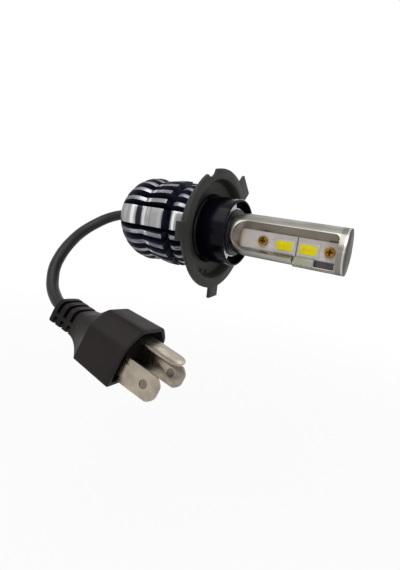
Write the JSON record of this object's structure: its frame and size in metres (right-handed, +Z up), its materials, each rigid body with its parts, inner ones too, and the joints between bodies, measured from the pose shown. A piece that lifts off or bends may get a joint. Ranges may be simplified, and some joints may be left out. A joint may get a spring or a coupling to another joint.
{
  "type": "headlight bulb",
  "caption": "LED headlight bulb with a finned heat sink, a lugged flange collar, a windowed lamp barrel and a short cable with a moulded three-blade plug.",
  "frame": {"origin": "centre of the flange ring's front face, on the lamp axis", "axes": "+X along the lamp axis toward the barrel tip, +Z up with the cable and plug hanging below, -Y the near side with the visible light board"},
  "size_m": [0.1038, 0.0585, 0.0766],
  "materials": {
    "flange_paint": "satin dark grey paint",
    "sleeve_gloss": "gloss blue-black",
    "lip_paint": "gloss black",
    "seal_rubber": "matte black",
    "sink_aluminium": "bright machined, dark between the fins",
    "sink_front_aluminium": "bright machined, dark between the fins",
    "neck_aluminium": "dark anodised",
    "ear_aluminium": "bright machined",
    "barrel_aluminium": "satin, fine turned lines",
    "board_near": "off-white solder mask",
    "board_far": "off-white solder mask",
    "package_ceramic": "white ceramic",
    "phosphor": "yellow phosphor in silicone",
    "screw_brass": "brown brass",
    "shield_near": "bright sheet",
    "shield_far": "bright sheet",
    "driver_laminate": "green laminate",
    "inductor_ferrite": "dark ferrite",
    "capacitor_can": "satin can",
    "chip_plastic": "black moulding",
    "lead_insulation": "red insulation",
    "supply_insulation": "black insulation",
    "gland_rubber": "matte black",
    "cable_jacket": "matte black jacket",
    "plug_plastic": "matte black moulding",
    "insert_plastic": "matte black moulding",
    "blade_near_metal": "warm nickel plate",
    "blade_far_metal": "warm nickel plate",
    "blade_top_metal": "warm nickel plate"
  },
  "bodies": {
    "collar": {"collar_flange": "flange_paint", "collar_sleeve": "sleeve_gloss", "collar_lip": "lip_paint"},
    "seal": {"o_ring": "seal_rubber"},
    "lamp": {"heat_sink_rear": "sink_aluminium", "heat_sink_front": "sink_front_aluminium", "neck": "neck_aluminium", "bayonet_ring": "ear_aluminium", "lamp_barrel": "barrel_aluminium", "led_board_near": "board_near", "led_board_far": "board_far", "led_packages": "package_ceramic", "led_phosphors": "phosphor", "board_screws": "screw_brass", "beam_shield_near": "shield_near", "beam_shield_far": "shield_far", "driver_board": "driver_laminate", "driver_inductor": "inductor_ferrite", "driver_capacitors": "capacitor_can", "driver_chips": "chip_plastic", "lead_wires": "lead_insulation", "supply_wires": "supply_insulation", "cable_gland": "gland_rubber", "cable": "cable_jacket", "plug_body": "plug_plastic", "plug_insert": "insert_plastic", "blade_near": "blade_near_metal", "blade_far": "blade_far_metal", "blade_top": "blade_top_metal"}
  },
  "joints": [
    {"name": "lamp_pull", "type": "slide", "parent": "collar", "child": "seal", "axis": [-1, 0, 0], "range_m": [0, 0.062]},
    {"name": "lamp_twist", "type": "hinge", "parent": "seal", "child": "lamp", "pos_m": [0, 0, 0], "axis": [1, 0, 0], "range_deg": [-45, 0]}
  ]
}
